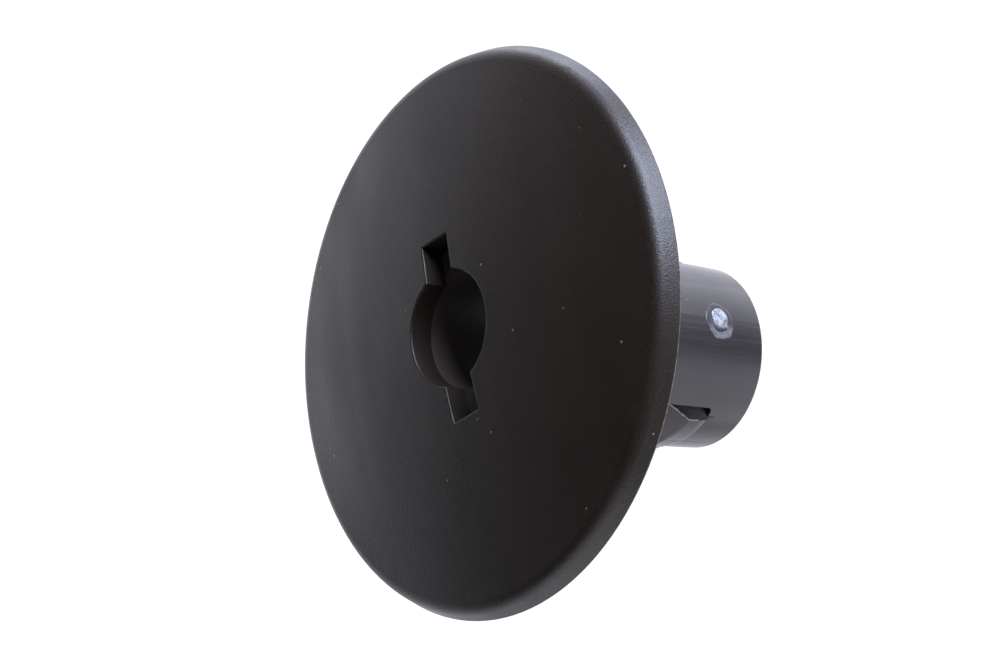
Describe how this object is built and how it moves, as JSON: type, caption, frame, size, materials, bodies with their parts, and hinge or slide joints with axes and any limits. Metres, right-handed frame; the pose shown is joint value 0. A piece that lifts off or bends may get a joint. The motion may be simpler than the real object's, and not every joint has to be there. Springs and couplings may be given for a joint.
{
  "type": "snap-in cable grommet",
  "caption": "Round domed cable grommet: a matte flange over a barrel with snap tongues, and a keyed centre hole for a cable passing through a panel.",
  "frame": {"origin": "on the axis, in the plane of the flange's back rim, which rests on the panel", "axes": "+Z along the axis and out of the domed face; the keyway slots and snap tongues lie along Y, rear on +Y and front on -Y"},
  "size_m": [0.038, 0.038, 0.0224],
  "materials": {
    "flange_plastic": "fine spark-eroded matte texture",
    "barrel_plastic": "smooth semi-gloss"
  },
  "bodies": {
    "bushing": {"face_flange": "flange_plastic", "barrel": "barrel_plastic"},
    "rear_tongue": {"snap_tongue_rear": "barrel_plastic"},
    "front_tongue": {"snap_tongue_front": "barrel_plastic"}
  },
  "joints": [
    {"name": "rear_tongue_flex", "type": "hinge", "parent": "bushing", "child": "rear_tongue", "pos_m": [0, 0.0052, -0.01537], "axis": [1, 0, 0], "range_deg": [0, 8], "stiffness_Nm_per_rad": 0.05},
    {"name": "front_tongue_flex", "type": "hinge", "parent": "bushing", "child": "front_tongue", "pos_m": [0, -0.0052, -0.01537], "axis": [-1, 0, 0], "range_deg": [0, 8], "stiffness_Nm_per_rad": 0.05}
  ]
}
